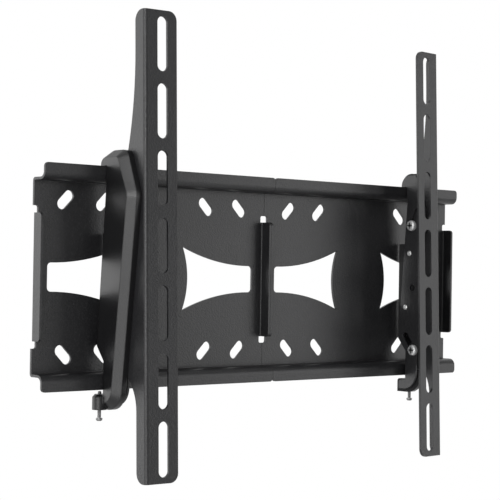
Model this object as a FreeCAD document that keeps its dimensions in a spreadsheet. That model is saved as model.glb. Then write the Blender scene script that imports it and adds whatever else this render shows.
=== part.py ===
import FreeCAD, Part
import math
import os
import Sketcher

# A tilting wall mount for a flat television: a wall plate folded from sheet in two halves, with a lip along
# its top and its foot, and on each side a hanger that hooks over the lips and carries a slotted arm.
# X runs along the wall, the room is towards -Y, Z is up. The origin is the middle of the wall plate's back.

SIZES = {
    # wall plate
    "half_width": 225.0,          # one half of the plate, along the wall
    "seam_gap": 0.1,              # each half stops this far from the middle
    "plate_thk": 2.0,             # sheet of the wall plate
    "shelf_height": 73.0,         # upper face of the top shelf above the middle
    "lip_height": 83.5,           # free edge of the lip above the middle
    "lip_depth": 16.0,            # front of the lip from the wall
    "lip_bend": 4.0,              # inside radius between shelf and lip
    "shelf_bend": 0.5,            # inside radius between plate and shelf
    "lip_corner": 3.0,            # rounding of the lip's ends
    "flange_depth": 11.5,         # front of the upright side flanges from the wall
    "flange_reach": 47.0,         # half the height of the side flanges
    "flange_bend": 1.0,           # inside radius of the side flanges
    "flange_corner": 3.0,         # rounding of their front corners
    "relief_depth": 3.7,          # notch where a side flange ends, along the wall
    "relief_height": 5.4,         # and its height
    "relief_corner": 1.6,         # and its rounding
    "wall_slot_width": 8.5,
    "wall_slot_length": 17.0,
    "wall_slot_near": 50.0,       # slots to each side of a half's middle
    "wall_slot_far": 85.0,
    "wall_slot_row": 57.5,        # rows above and below the middle
    "window_inset": 12.3,         # narrow end of a window from the half's edge
    "window_end": 10.7,           # half the height of that end
    "window_end_corner": 3.0,
    "window_tip": 25.4,           # half the height at the wide end
    "web_waist": 32.0,            # half the width of the web between the windows, at mid height
    "web_foot": 26.8,             # and level with the windows' tips
    # arms that carry the set
    "arm_side": 161.0,            # outer face of an arm from the middle
    "arm_thk": 2.0,
    "arm_bend": 0.6,              # inside radius of the arm's fold
    "arm_front": 52.5,            # front of the upright arms from the wall
    "arm_width": 28.3,
    "arm_splay": 4.6,             # degrees by which the arm's fold is open past a right angle
    "arm_length": 350.0,
    "arm_middle": 26.5,           # middle of the arms above the middle of the plate
    "arm_corner": 7.0,            # rounding of the free corners in front
    "arm_slot_width": 9.0,
    "arm_slot_length": 41.0,
    "arm_slot_pitch": 50.0,
    "arm_slot_margin": 4.0,       # least sheet past the last slots
    "arm_slot_inset": 15.7,       # slot's middle from the fold's outer corner
    "arm_flange": 11.5,           # depth of the narrow flange
    "arm_flange_corner": 8.0,
    "arm_ear": 8.0,               # radius of the ears around the tilt screws
    "arm_neck": 30.0,             # flange's back edge between the ears, from the wall
    "arm_upper_sweep": 300.0,     # radius that widens the flange above the upper ear
    "arm_lower_sweep": 33.0,      # and below the lower one
    # tilt, about a level axis in front of the arms
    "tilt_axis_y": 116.5,         # in front of the wall
    "tilt_axis_z": 18.0,
    "tilt_screw_y": 24.85,        # tilt screws in front of the wall
    "tilt_screw_upper": 52.0,
    "tilt_screw_lower": 58.0,     # below the middle
    "rest_lean": 1.8,             # degrees that the arms lean back at rest
    "tilt_back": 2.0,             # degrees from upright
    "tilt_forward": 6.0,
    "tilt_screw_dia": 5.0,
    "tilt_slot_width": 5.6,
    "screw_play": 0.05,           # round a shank, at each side
    "tilt_head_dia": 9.6,
    "tilt_head_height": 3.4,
    "tilt_head_round": 1.6,
    "shank_end": 0.4,             # shank past the nut
    "tilt_nut_flats": 8.0,
    "tilt_nut_height": 3.6,
    "cross_length": 5.2,          # recess in a screw head
    "cross_width": 1.1,
    "cross_depth": 1.6,
    # hangers
    "hook_thk": 2.0,
    "layer_gap": 0.2,             # between hook plate, arm and cover
    "lip_play": 0.3,              # round the lips
    "hook_rim": 1.5,              # cover's edge outside the hook plate's
    "hook_foot_rim": 3.1,
    "hook_tab_rim": 5.4,
    "hook_front_rim": 7.5,
    "sight_hole_dia": 6.2,
    "sight_hole_z": 6.0,          # below the middle
    "cover_thk": 9.8,
    "cover_bevel": 5.3,
    "cover_top": 95.4,
    "cover_foot": 98.6,           # below the middle
    "crest_y": 47.4,              # foremost edge of the cover
    "crest_z": 62.0,
    "brow_y": 34.8,               # its upper front corner
    "chin_y": 30.8,               # its lower front corner
    "chin_radius": 16.0,
    "brow_radius": 8.0,
    "crest_radius": 14.0,
    "crown_radius": 11.0,
    "prong_back": 9.0,            # hook behind the top lip
    "prong_tip": 78.0,
    "back_top": 70.0,             # where the slanting back edge starts
    "back_foot": 51.0,            # and ends, below the middle
    "back_foot_y": 7.5,
    "notch_foot": 62.0,           # where the notch for the lower lip is full
    "tab_top": 87.0,              # tab under the lower lip, below the middle
    "tab_back": 4.5,
    "tab_corner": 2.5,
    "prong_block": 5.0,           # parts of the cover that reach in to the hook plate
    "strip_width": 12.5,
    "strip_reach": 38.0,
    "pad_back": 4.5,              # pad that stands off the wall plate
    "pad_top": 33.0,
    "pad_thk": 3.8,
    "pad_lap": 0.8,               # how far it runs in under the cover's back edge
    "cavity_wall": 2.5,
    "cavity_front": 1.7,
    "cavity_depth": 4.5,
    "cavity_foot": 78.0,          # below the middle
    "cavity_step": 2.0,           # between the strip and the hollow
    "cavity_lift": 1.0,           # more wall above the notch for the lower lip
    "over_cut": 1.0,              # how far a cut runs past what it cuts
    "rivet_upper_y": 21.0,
    "rivet_upper_z": 24.7,
    "rivet_lower_y": 17.0,
    "rivet_lower_z": 23.3,        # below the middle
    "rivet_dia": 3.0,
    "rivet_head_dia": 4.8,
    "rivet_head_height": 1.2,
    "rivet_head_round": 0.9,
    "rivet_grip": 5.5,            # how far it goes into the cover
    # locking screws
    "lock_inset": 0.9,            # inside the cover's outer face
    "lock_y": 10.9,
    "lock_dia": 3.0,
    "lock_head_dia": 5.0,
    "lock_head_height": 2.2,
    "lock_tip": 84.8,             # below the middle
    "lock_foot": 107.0,
    "boss_radius": 5.5,
    "boss_round": 2.0,            # taken off its upper rim
    "insert_dia": 5.2,
    "insert_length": 6.0,
}

doc = FreeCAD.newDocument("tv_mount")
sheet = doc.addObject("Spreadsheet::Sheet", "Sizes")
for row, (alias, value) in enumerate(SIZES.items(), start=1):
    sheet.set(f"A{row}", alias)
    sheet.set(f"B{row}", str(value))
    sheet.setAlias(f"B{row}", alias)
doc.recompute()


class Size(float):
    """A length that keeps, beside its value, the expression over the sheet that gives it."""

    def __new__(cls, value, text):
        made = super().__new__(cls, value)
        made.text = text
        return made

    @staticmethod
    def words(other):
        return other.text if isinstance(other, Size) else repr(float(other))

    def __add__(self, other):
        return Size(float(self) + float(other), f"({self.text} + {Size.words(other)})")

    def __radd__(self, other):
        return Size(float(other) + float(self), f"({Size.words(other)} + {self.text})")

    def __sub__(self, other):
        return Size(float(self) - float(other), f"({self.text} - {Size.words(other)})")

    def __rsub__(self, other):
        return Size(float(other) - float(self), f"({Size.words(other)} - {self.text})")

    def __mul__(self, other):
        return Size(float(self) * float(other), f"({self.text} * {Size.words(other)})")

    __rmul__ = __mul__

    def __truediv__(self, other):
        return Size(float(self) / float(other), f"({self.text} / {Size.words(other)})")

    def __neg__(self):
        return Size(-float(self), f"(-{self.text})")


def size(alias):
    """The named size from the sheet."""
    return Size(float(sheet.get(alias)), f"Sizes.{alias}")


def bind(obj, prop, value):
    """Sets a property, and ties it to the sheet when the value comes from there."""
    if isinstance(value, Size):
        obj.setExpression(prop, value.text)
    else:
        setattr(obj, prop, value)


def sketch_on(body, name, role, offset):
    """A sketch on one of the body's own planes, moved along that plane's normal."""
    sketch = body.newObject("Sketcher::SketchObject", name)
    plane = [f for f in body.Origin.OriginFeatures if f.Role == role][0]
    sketch.AttachmentSupport = [(plane, "")]
    sketch.MapMode = "FlatFace"
    sketch.AttachmentOffset = FreeCAD.Placement(FreeCAD.Vector(0, 0, float(offset)), FreeCAD.Rotation())
    if isinstance(offset, Size):
        sketch.setExpression("AttachmentOffset.Base.z", offset.text)
    return sketch


def vec(x, y):
    return FreeCAD.Vector(float(x), float(y), 0)


def tie(sketch, kind, args, value):
    """A dimension in a sketch, driven by the sheet."""
    index = sketch.addConstraint(Sketcher.Constraint(kind, *args, float(value)))
    if isinstance(value, Size):
        sketch.setExpression(f"Constraints[{index}]", value.text)


def draw_outline(sketch, corners):
    """A closed outline through corners (x, y, rounding). Sharp corners are tied to the sheet."""
    count = len(corners)
    points = [vec(x, y) for x, y, r in corners]
    ends = []
    for i, (x, y, r) in enumerate(corners):
        here, before, after = points[i], points[i - 1], points[(i + 1) % count]
        if not float(r):
            ends.append((here, here, None))
            continue
        back = (before - here).normalize()
        ahead = (after - here).normalize()
        half = back.getAngle(ahead) / 2
        reach = float(r) / math.tan(half)
        middle = here + (back + ahead).normalize() * (float(r) / math.sin(half) - float(r))
        ends.append((here + back * reach, here + ahead * reach, middle))
    first_lines = {}
    for i in range(count):
        start, stop = ends[i][1], ends[(i + 1) % count][0]
        if start.distanceToPoint(stop) > 1e-6:
            first_lines[i] = sketch.addGeometry(Part.LineSegment(start, stop), False)
        x, y, r = corners[i]
        if float(r):
            arc = sketch.addGeometry(Part.Arc(ends[i][0], ends[i][2], ends[i][1]), False)
            tie(sketch, "Radius", (arc,), r)
    for i, line in first_lines.items():
        x, y, r = corners[i]
        if float(r):
            continue
        if abs(float(x)) > 1e-6:
            tie(sketch, "DistanceX", (-1, 1, line, 1), x)
        if abs(float(y)) > 1e-6:
            tie(sketch, "DistanceY", (-1, 1, line, 1), y)


def draw_circle(sketch, x, y, radius):
    """A circle whose middle and radius follow the sheet."""
    circle = sketch.addGeometry(Part.Circle(vec(x, y), FreeCAD.Vector(0, 0, 1), float(radius)), False)
    tie(sketch, "Radius", (circle,), radius)
    tie(sketch, "DistanceX", (-1, 1, circle, 3), x)
    tie(sketch, "DistanceY", (-1, 1, circle, 3), y)


def draw_stadium(sketch, start, stop, radius):
    """A slot with round ends about two points."""
    along = (stop - start).normalize()
    side = vec(-along.y, along.x) * float(radius)
    tip = along * float(radius)
    sketch.addGeometry(Part.LineSegment(start - side, stop - side), False)
    sketch.addGeometry(Part.Arc(stop - side, stop + tip, stop + side), False)
    sketch.addGeometry(Part.LineSegment(stop + side, start + side), False)
    sketch.addGeometry(Part.Arc(start + side, start - tip, start - side), False)


def draw_arc_slot(sketch, centre, start, stop, radius):
    """A slot bent about a centre, with round ends about two points."""
    arm_in, arm_out = start - centre, stop - centre
    reach = arm_in.Length
    middle = (arm_in + arm_out).normalize()
    toward_in, toward_out = arm_in * (1 / reach), arm_out * (1 / reach)
    turn_in = vec(toward_in.y, -toward_in.x)
    if turn_in.dot(arm_out) > 0:
        turn_in = -turn_in
    turn_out = vec(toward_out.y, -toward_out.x)
    if turn_out.dot(arm_in) > 0:
        turn_out = -turn_out
    width = float(radius)
    far, near = reach + width, reach - width
    far_in, far_out = centre + toward_in * far, centre + toward_out * far
    near_in, near_out = centre + toward_in * near, centre + toward_out * near
    sketch.addGeometry(Part.Arc(far_in, centre + middle * far, far_out), False)
    sketch.addGeometry(Part.Arc(far_out, stop + turn_out * width, near_out), False)
    sketch.addGeometry(Part.Arc(near_out, centre + middle * near, near_in), False)
    sketch.addGeometry(Part.Arc(near_in, start + turn_in * width, far_in), False)


def pad(body, name, sketch, length, midplane=False):
    feature = body.newObject("PartDesign::Pad", name)
    feature.Profile = sketch
    feature.Midplane = midplane
    bind(feature, "Length", length)
    doc.recompute()
    return feature


def cut(body, name, sketch, depth=None):
    """A pocket, through everything unless a depth is given. It must take something away."""
    before = body.Shape.Volume
    feature = body.newObject("PartDesign::Pocket", name)
    feature.Profile = sketch
    if depth is None:
        feature.Type = "ThroughAll"
        feature.Midplane = True
    else:
        bind(feature, "Length", depth)
    doc.recompute()
    if body.Shape.Volume > before - 1e-3:
        raise RuntimeError(f"{name} cut nothing")
    return feature


def new_body(label):
    body = doc.addObject("PartDesign::Body", label)
    body.Label = label
    return body


def mirrored(source, label):
    """The same piece on the other side of the middle."""
    other = doc.addObject("Part::Mirroring", label)
    other.Source = source
    other.Normal = FreeCAD.Vector(1, 0, 0)
    other.Base = FreeCAD.Vector(0, 0, 0)
    other.Label = label
    return other


# Wall plate, left half: a folded section run along the wall, then cut, then given its upright side flanges.

plate_thk = size("plate_thk")
half_width = size("half_width")
shelf_height = size("shelf_height")
lip_height = size("lip_height")
lip_depth = size("lip_depth")
lip_back = lip_depth - plate_thk
half_middle = -half_width / 2
seam = -size("seam_gap")
relief_depth = size("relief_depth")
flange_reach = size("flange_reach")
flange_depth = size("flange_depth")
flange_outer = size("flange_bend") + plate_thk


def build_wall_plate():
    body = new_body("wall_plate_left")
    shelf_under = shelf_height - plate_thk
    lip_outer = size("lip_bend") + plate_thk
    shelf_outer = size("shelf_bend") + plate_thk

    section = sketch_on(body, "plate_section", "YZ_Plane", -half_width)
    draw_outline(section, [
        (-lip_depth, lip_height, 0),
        (-lip_depth, shelf_under, lip_outer),
        (-plate_thk, shelf_under, size("shelf_bend")),
        (-plate_thk, -shelf_under, size("shelf_bend")),
        (-lip_depth, -shelf_under, lip_outer),
        (-lip_depth, -lip_height, 0),
        (-lip_back, -lip_height, 0),
        (-lip_back, -shelf_height, size("lip_bend")),
        (0, -shelf_height, shelf_outer),
        (0, shelf_height, shelf_outer),
        (-lip_back, shelf_height, size("lip_bend")),
        (-lip_back, lip_height, 0),
    ])
    pad(body, "plate_folded", section, half_width - size("seam_gap"))

    # room for the side flanges' bends, and the notch past each end of a flange
    relief_end = flange_reach + size("relief_height")
    relief = sketch_on(body, "flange_relief", "XZ_Plane", 0)
    for edge, inward in ((-half_width, 1), (seam, -1)):
        outside = edge - inward * size("over_cut")
        notch = edge + inward * relief_depth
        bend = edge + inward * flange_outer
        draw_outline(relief, [
            (outside, relief_end, 0),
            (notch, relief_end, size("relief_corner")),
            (notch, flange_reach, 0),
            (bend, flange_reach, 0),
            (bend, -flange_reach, 0),
            (notch, -flange_reach, 0),
            (notch, -relief_end, size("relief_corner")),
            (outside, -relief_end, 0),
        ])
    cut(body, "flange_reliefs", relief)

    # slots for the wall screws, leaning to and fro
    slots = sketch_on(body, "wall_slots", "XZ_Plane", 0)
    lean = (size("wall_slot_length") - size("wall_slot_width")) / 2 * math.sqrt(0.5)
    for side in (-1, 1):
        for level in (-1, 1):
            for away in (size("wall_slot_near"), size("wall_slot_far")):
                middle = vec(half_middle + side * away, level * size("wall_slot_row"))
                reach = vec(-side * level * lean, lean)
                draw_stadium(slots, middle - reach, middle + reach, size("wall_slot_width") / 2)
    cut(body, "wall_slot_cuts", slots)

    # two windows in each half, narrow towards the half's edges and wide beside the middle web
    windows = sketch_on(body, "windows", "XZ_Plane", 0)
    end = float(half_width / 2 - size("window_inset"))
    corner = float(size("window_end_corner"))
    flat = end - corner
    end_z, tip_z = float(size("window_end")), float(size("window_tip"))
    foot, waist = float(size("web_foot")), float(size("web_waist"))
    rise = tip_z - end_z
    bow = ((flat - foot) ** 2 + rise ** 2) / (2 * rise)
    slow = (flat + foot) / 2
    slow_z = end_z + bow - math.sqrt(bow ** 2 - (flat - slow) ** 2)
    nip = corner * (1 - math.sqrt(0.5))
    for side in (-1, 1):

        def at(x, z, side=side):
            return vec(half_middle + side * x, z)

        windows.addGeometry(Part.Arc(at(foot, tip_z), at(slow, slow_z), at(flat, end_z)), False)
        shoulder, low = at(end, end_z - corner), at(end, corner - end_z)
        windows.addGeometry(Part.Arc(at(flat, end_z), at(end - nip, end_z - nip), shoulder), False)
        windows.addGeometry(Part.LineSegment(shoulder, low), False)
        windows.addGeometry(Part.Arc(low, at(end - nip, nip - end_z), at(flat, -end_z)), False)
        windows.addGeometry(Part.Arc(at(flat, -end_z), at(slow, -slow_z), at(foot, -tip_z)), False)
        windows.addGeometry(Part.Arc(at(foot, -tip_z), at(waist, 0), at(foot, tip_z)), False)
    cut(body, "window_cuts", windows)

    # rounded ends of the lips
    corners = sketch_on(body, "lip_corners", "XZ_Plane", 0)
    round_lip = float(size("lip_corner"))
    nip = round_lip * (1 - math.sqrt(0.5))
    for edge, inward in ((float(-half_width), 1), (float(seam), -1)):
        for level in (-1, 1):
            top = level * float(lip_height)
            low = level * (float(lip_height) - round_lip)
            over = level * (float(lip_height) + 1)
            inner, outer = edge + inward * round_lip, edge - inward
            corners.addGeometry(Part.Arc(vec(edge, low), vec(edge + inward * nip, top - level * nip),
                                         vec(inner, top)), False)
            path = [vec(inner, top), vec(inner, over), vec(outer, over), vec(outer, low), vec(edge, low)]
            for start, stop in zip(path, path[1:]):
                corners.addGeometry(Part.LineSegment(start, stop), False)
    cut(body, "lip_roundings", corners)

    # upright flanges folded forward along both edges of the half
    flanges = sketch_on(body, "side_flanges", "XY_Plane", 0)
    bend_in = float(size("flange_bend"))
    bend_out = float(flange_outer)
    thk, front = float(plate_thk), -float(flange_depth)
    for edge, inward in ((float(-half_width), 1), (float(seam), -1)):
        hub = vec(edge + inward * bend_out, -bend_out)

        def around(radius, hub=hub, inward=inward):
            slant = radius * math.sqrt(0.5)
            return hub + vec(-inward * radius, 0), hub + vec(-inward * slant, slant), hub + vec(0, radius)

        out_side, out_mid, out_back = around(bend_out)
        in_side, in_mid, in_back = around(bend_in)
        tip_out, tip_in = vec(edge, front), vec(edge + inward * thk, front)
        flanges.addGeometry(Part.Arc(out_back, out_mid, out_side), False)
        flanges.addGeometry(Part.LineSegment(out_side, tip_out), False)
        flanges.addGeometry(Part.LineSegment(tip_out, tip_in), False)
        flanges.addGeometry(Part.LineSegment(tip_in, in_side), False)
        flanges.addGeometry(Part.Arc(in_side, in_mid, in_back), False)
        flanges.addGeometry(Part.LineSegment(in_back, out_back), False)
    pad(body, "side_flange_folds", flanges, flange_reach * 2, midplane=True)

    rounding = sketch_on(body, "flange_corners", "YZ_Plane", 0)
    radius = float(size("flange_corner"))
    nip = radius * (1 - math.sqrt(0.5))
    for level in (-1, 1):
        top = level * float(flange_reach)
        low = top - level * radius
        rounding.addGeometry(Part.Arc(vec(front + radius, top), vec(front + nip, top - level * nip),
                                      vec(front, low)), False)
        path = [vec(front, low), vec(front - 1, low), vec(front - 1, top + level),
                vec(front + radius, top + level), vec(front + radius, top)]
        for start, stop in zip(path, path[1:]):
            rounding.addGeometry(Part.LineSegment(start, stop), False)
    cut(body, "flange_roundings", rounding)
    return body


# Arm: a long face with slots, folded back along its outer edge into a flange with two ears for the screws.

arm_side = size("arm_side")
arm_thk = size("arm_thk")
arm_front = size("arm_front")
arm_top = size("arm_middle") + size("arm_length") / 2
arm_foot = size("arm_middle") - size("arm_length") / 2
screw_y = -size("tilt_screw_y")
screw_upper = size("tilt_screw_upper")
screw_lower = -size("tilt_screw_lower")
bolt_hole = size("tilt_screw_dia") / 2 + size("screw_play")


def build_arm():
    body = new_body("tv_arm_left")
    outer_bend = size("arm_bend") + arm_thk
    width, splay = size("arm_width"), size("arm_splay")
    opened = math.radians(float(splay))
    cosine = Size(math.cos(opened), f"cos({splay.text} * 1 deg)")
    sine = Size(math.sin(opened), f"sin({splay.text} * 1 deg)")
    free_x, free_y = -arm_side + width * cosine, -arm_front - width * sine

    plan = sketch_on(body, "arm_plan", "XY_Plane", arm_foot)
    draw_outline(plan, [
        (-arm_side, -arm_front, outer_bend),
        (free_x, free_y, 0),
        (free_x + arm_thk * sine, free_y + arm_thk * cosine, 0),
        (-arm_side + arm_thk, -arm_front + arm_thk * (1 - sine) / cosine, size("arm_bend")),
        (-arm_side + arm_thk, -arm_front + outer_bend, 0),
        (-arm_side, -arm_front + outer_bend, 0),
    ])
    pad(body, "arm_face", plan, size("arm_length"))

    # side flange: narrow at both ends, swept back to the ears, with a neck between them
    root = float(-arm_front + outer_bend)
    back = float(-arm_front + size("arm_flange"))
    corner = float(size("arm_flange_corner"))
    ear = float(size("arm_ear"))
    neck = -float(size("arm_neck"))
    top, foot = float(arm_top), float(arm_foot)
    nip = corner * (1 - math.sqrt(0.5))
    hub_y = float(screw_y)
    side = sketch_on(body, "arm_flange_side", "YZ_Plane", -arm_side)

    def sweep_to_ear(radius, hub_z, level):
        """Where an arc that leaves the narrow edge meets an ear: its start, a middle point and its end."""
        rise = math.sqrt((radius + ear) ** 2 - (back + radius - hub_y) ** 2)
        centre = vec(back + radius, hub_z + level * rise)
        hub = vec(hub_y, hub_z)
        meet = hub + (centre - hub).normalize() * ear
        start = vec(back, centre.y)
        middle = centre + ((start - centre) + (meet - centre)).normalize() * radius
        return start, middle, meet

    def ear_arc(hub_z, meet, level):
        """Round an ear from the sweep to the neck."""
        hub = vec(hub_y, hub_z)
        rise = math.sqrt(ear ** 2 - (neck - hub_y) ** 2)
        leave = vec(neck, hub_z - level * rise)
        return Part.Arc(meet, hub + vec(ear, 0), leave), leave

    start_up, mid_up, meet_up = sweep_to_ear(float(size("arm_upper_sweep")), float(screw_upper), 1)
    start_low, mid_low, meet_low = sweep_to_ear(float(size("arm_lower_sweep")), float(screw_lower), -1)
    arc_up, leave_up = ear_arc(float(screw_upper), meet_up, 1)
    arc_low, leave_low = ear_arc(float(screw_lower), meet_low, -1)
    pieces = [
        Part.LineSegment(vec(root, top), vec(back - corner, top)),
        Part.Arc(vec(back - corner, top), vec(back - nip, top - nip), vec(back, top - corner)),
        Part.LineSegment(vec(back, top - corner), start_up),
        Part.Arc(start_up, mid_up, meet_up),
        arc_up,
        Part.LineSegment(leave_up, leave_low),
        arc_low,
        Part.Arc(start_low, mid_low, meet_low),
        Part.LineSegment(start_low, vec(back, foot + corner)),
        Part.Arc(vec(back, foot + corner), vec(back - nip, foot + nip), vec(back - corner, foot)),
        Part.LineSegment(vec(back - corner, foot), vec(root, foot)),
        Part.LineSegment(vec(root, foot), vec(root, top)),
    ]
    for piece in pieces:
        side.addGeometry(piece, False)
    pad(body, "arm_flange_plate", side, arm_thk)

    # the screws into a TV stand square to its back, so the slots are cut that way through the open face
    slots = sketch_on(body, "arm_slots", "XZ_Plane", arm_front)
    slot_x = -arm_side + size("arm_slot_inset") * cosine
    reach = vec(0, (size("arm_slot_length") - size("arm_slot_width")) / 2)
    room = size("arm_length") - size("arm_slot_length") - 2 * size("arm_slot_margin")
    count = 1 + int(float(room / size("arm_slot_pitch")))
    for i in range(count):
        middle = vec(slot_x, size("arm_middle") + (i - (count - 1) / 2) * size("arm_slot_pitch"))
        draw_stadium(slots, middle - reach, middle + reach, size("arm_slot_width") / 2)
    cut(body, "arm_slot_cuts", slots)

    # rounded free corners, drawn on the open face from the fold's outer corner
    corners = sketch_on(body, "arm_corners", "XZ_Plane", arm_front)
    turned = FreeCAD.Rotation(FreeCAD.Vector(0, 1, 0), -float(splay))
    fold_corner = FreeCAD.Vector(-float(arm_side), 0, float(arm_front))
    corners.AttachmentOffset = FreeCAD.Placement(fold_corner, turned)
    corners.setExpression("AttachmentOffset.Base.x", (-arm_side).text)
    corners.setExpression("AttachmentOffset.Rotation.Angle", f"-{splay.text} * 1 deg")
    radius = float(size("arm_corner"))
    nip = radius * (1 - math.sqrt(0.5))
    edge = float(width)
    for level, end in ((1, top), (-1, foot)):
        low = end - level * radius
        rounded = Part.Arc(vec(edge - radius, end), vec(edge - nip, end - level * nip), vec(edge, low))
        corners.addGeometry(rounded, False)
        path = [vec(edge, low), vec(edge + 1, low), vec(edge + 1, end + level),
                vec(edge - radius, end + level), vec(edge - radius, end)]
        for start, stop in zip(path, path[1:]):
            corners.addGeometry(Part.LineSegment(start, stop), False)
    cut(body, "arm_corner_cuts", corners)

    holes = sketch_on(body, "tilt_screw_holes", "YZ_Plane", -arm_side)
    draw_circle(holes, screw_y, screw_upper, bolt_hole)
    draw_circle(holes, screw_y, screw_lower, bolt_hole)
    cut(body, "tilt_screw_hole_cuts", holes)
    return body


# Hook plate: hangs on the top lip, passes in front of the lower lip and reaches under it. Two slots bent
# about the tilt axis guide the tilt screws.

hook_outer = arm_side - arm_thk - size("layer_gap")
hook_inner = hook_outer - size("hook_thk")
lip_play = size("lip_play")
bear_y = lip_depth + lip_play
behind_lip = lip_back - lip_play
tilt_axis = vec(-size("tilt_axis_y"), size("tilt_axis_z"))


def hanger_outline(edge, front, foot, back, tab_rim):
    """Side view of a hanger, drawn in from the cover at its edges, front, foot, back and tab."""
    top = size("cover_top") - edge
    low = -size("cover_foot") + foot
    prong = -size("prong_back") - back
    tab = -size("tab_back") - tab_rim
    tab_top = -size("tab_top") - back / 2
    return [
        (prong, size("prong_tip"), 0),
        (prong, top, size("crown_radius") - edge),
        (-size("brow_y") + front, top, size("brow_radius") - front),
        (-size("crest_y") + front, size("crest_z"), size("crest_radius") - front),
        (-size("chin_y") + edge, low, size("chin_radius") - edge),
        (tab, low, 0),
        (tab, tab_top, size("tab_corner")),
        (-bear_y - back, tab_top, 0),
        (-bear_y - back, -size("notch_foot"), 0),
        (-size("back_foot_y") - back, -size("back_foot"), 0),
        (-bear_y - back, size("back_top"), 0),
        (-bear_y, lip_height + lip_play, 0),
        (-behind_lip, lip_height + lip_play, 0),
        (-behind_lip, size("prong_tip"), 0),
    ]


def tilted(y, z, degrees):
    """Where a point of the arm goes when the arm tilts forward."""
    turn = math.radians(degrees)
    across, up = float(y) - tilt_axis.x, float(z) - tilt_axis.y
    cosine, sine = math.cos(turn), math.sin(turn)
    return tilt_axis + vec(across * cosine - up * sine, up * cosine + across * sine)


def leaned(piece):
    """Leans a piece of the arm back about the tilt axis, as the arm hangs at rest."""
    lean, across, up = size("rest_lean"), -size("tilt_axis_y"), size("tilt_axis_z")
    turn = f"(-{lean.text} * 1 deg)"
    cosine, sine = f"cos{turn}", f"sin{turn}"
    tipped = FreeCAD.Rotation(FreeCAD.Vector(1, 0, 0), -float(lean))
    piece.Placement = FreeCAD.Placement(FreeCAD.Vector(), tipped)
    piece.setExpression("Placement.Rotation.Angle", turn)
    piece.setExpression("Placement.Base.y", f"{across.text} * (1 - {cosine}) + {up.text} * {sine}")
    piece.setExpression("Placement.Base.z", f"{up.text} * (1 - {cosine}) - {across.text} * {sine}")
    return piece


def build_hook_plate():
    body = new_body("hook_plate_left")
    side = sketch_on(body, "hook_side", "YZ_Plane", -hook_outer)
    rim, front, foot = size("hook_rim"), size("hook_front_rim"), size("hook_foot_rim")
    draw_outline(side, hanger_outline(rim, front, foot, rim, size("hook_tab_rim")))
    pad(body, "hook_sheet", side, size("hook_thk"))

    slots = sketch_on(body, "tilt_slots", "YZ_Plane", -hook_outer)
    for level in (screw_upper, screw_lower):
        draw_arc_slot(slots, tilt_axis, tilted(screw_y, level, -float(size("tilt_back"))),
                      tilted(screw_y, level, float(size("tilt_forward"))), size("tilt_slot_width") / 2)
    cut(body, "tilt_slot_cuts", slots)

    holes = sketch_on(body, "hook_holes", "YZ_Plane", -hook_outer)
    draw_circle(holes, screw_y, -size("sight_hole_z"), size("sight_hole_dia") / 2)
    for y, z in rivet_places():
        draw_circle(holes, y, z, size("rivet_dia") / 2 + size("screw_play"))
    cut(body, "hook_hole_cuts", holes)
    return body


def rivet_places():
    return [(-size("rivet_upper_y"), size("rivet_upper_z")), (-size("rivet_lower_y"), -size("rivet_lower_z"))]


# Side cover: a thick moulded cap over the arm's flange, bevelled along its front, hollow over the tilt nuts,
# with a strip and a prong that reach in to the hook plate, a pad towards the wall and a boss for the locking
# screw.

cover_inner = arm_side + size("layer_gap")
cover_outer = cover_inner + size("cover_thk")
rim_inner = hook_outer + size("screw_play")
lock_side = cover_outer - size("lock_inset")


def back_edge(z):
    """The slanting back edge of a hanger at a height."""
    top, foot = float(size("back_top")), -float(size("back_foot"))
    start, stop = -float(bear_y), -float(size("back_foot_y"))
    return start + (stop - start) * (top - float(z)) / (top - foot)


def front_edge(z):
    """The cover's front edge at a height."""
    crest_y, crest_z = -float(size("crest_y")), float(size("crest_z"))
    if float(z) > crest_z:
        end_y, end_z = -float(size("brow_y")), float(size("cover_top"))
    else:
        end_y, end_z = -float(size("chin_y")), -float(size("cover_foot"))
    return crest_y + (end_y - crest_y) * (float(z) - crest_z) / (end_z - crest_z)


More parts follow.
